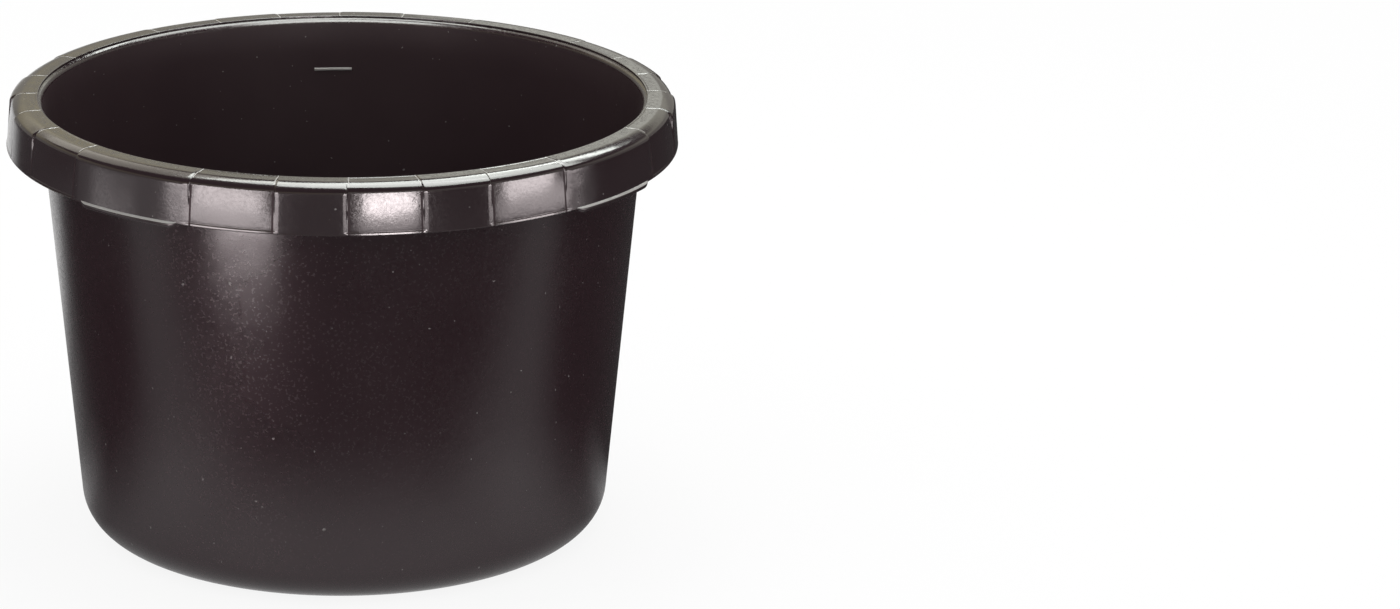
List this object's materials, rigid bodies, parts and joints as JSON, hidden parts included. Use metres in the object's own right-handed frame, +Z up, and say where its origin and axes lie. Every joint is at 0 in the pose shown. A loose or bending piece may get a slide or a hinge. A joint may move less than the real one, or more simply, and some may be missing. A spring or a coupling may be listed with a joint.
{
  "type": "cement tub",
  "caption": "Round tapered plastic tub with a stepped, panelled rim and hand grips, for mixing and carrying mortar, cement or rubble.",
  "frame": {"origin": "centre of the base, on the surface that the tub stands on", "axes": "+Z up along the tub's axis, grips on the X and Y axes, front is -Y"},
  "size_m": [0.6344, 0.6344, 0.422],
  "materials": {
    "drum_plastic": "satin, finely grained black polyethylene",
    "rim_plastic": "smoother, half-gloss black polyethylene"
  },
  "bodies": {
    "root": {"floor": "drum_plastic", "base_ring": "drum_plastic", "wall": "drum_plastic", "level_mark": "drum_plastic", "rim_deck": "rim_plastic", "grip_front": "rim_plastic", "grip_right": "rim_plastic", "grip_back": "rim_plastic", "grip_left": "rim_plastic", "pocket_panel_01": "rim_plastic", "pocket_panel_02": "rim_plastic", "pocket_panel_03": "rim_plastic", "pocket_panel_04": "rim_plastic", "pocket_panel_05": "rim_plastic", "pocket_panel_06": "rim_plastic", "pocket_panel_07": "rim_plastic", "pocket_panel_08": "rim_plastic", "pocket_panel_09": "rim_plastic", "pocket_panel_10": "rim_plastic", "pocket_panel_11": "rim_plastic", "pocket_panel_12": "rim_plastic", "plain_panel_1": "rim_plastic", "plain_panel_2": "rim_plastic", "plain_panel_3": "rim_plastic", "plain_panel_4": "rim_plastic", "plain_panel_5": "rim_plastic", "plain_panel_6": "rim_plastic", "plain_panel_7": "rim_plastic", "plain_panel_8": "rim_plastic", "rim_web_01": "rim_plastic", "rim_web_02": "rim_plastic", "rim_web_03": "rim_plastic", "rim_web_04": "rim_plastic", "rim_web_05": "rim_plastic", "rim_web_06": "rim_plastic", "rim_web_07": "rim_plastic", "rim_web_08": "rim_plastic", "rim_web_09": "rim_plastic", "rim_web_10": "rim_plastic", "rim_web_11": "rim_plastic", "rim_web_12": "rim_plastic", "rim_web_13": "rim_plastic", "rim_web_14": "rim_plastic", "rim_web_15": "rim_plastic", "rim_web_16": "rim_plastic", "rim_web_17": "rim_plastic", "rim_web_18": "rim_plastic", "rim_web_19": "rim_plastic", "rim_web_20": "rim_plastic"}
  },
  "joints": []
}
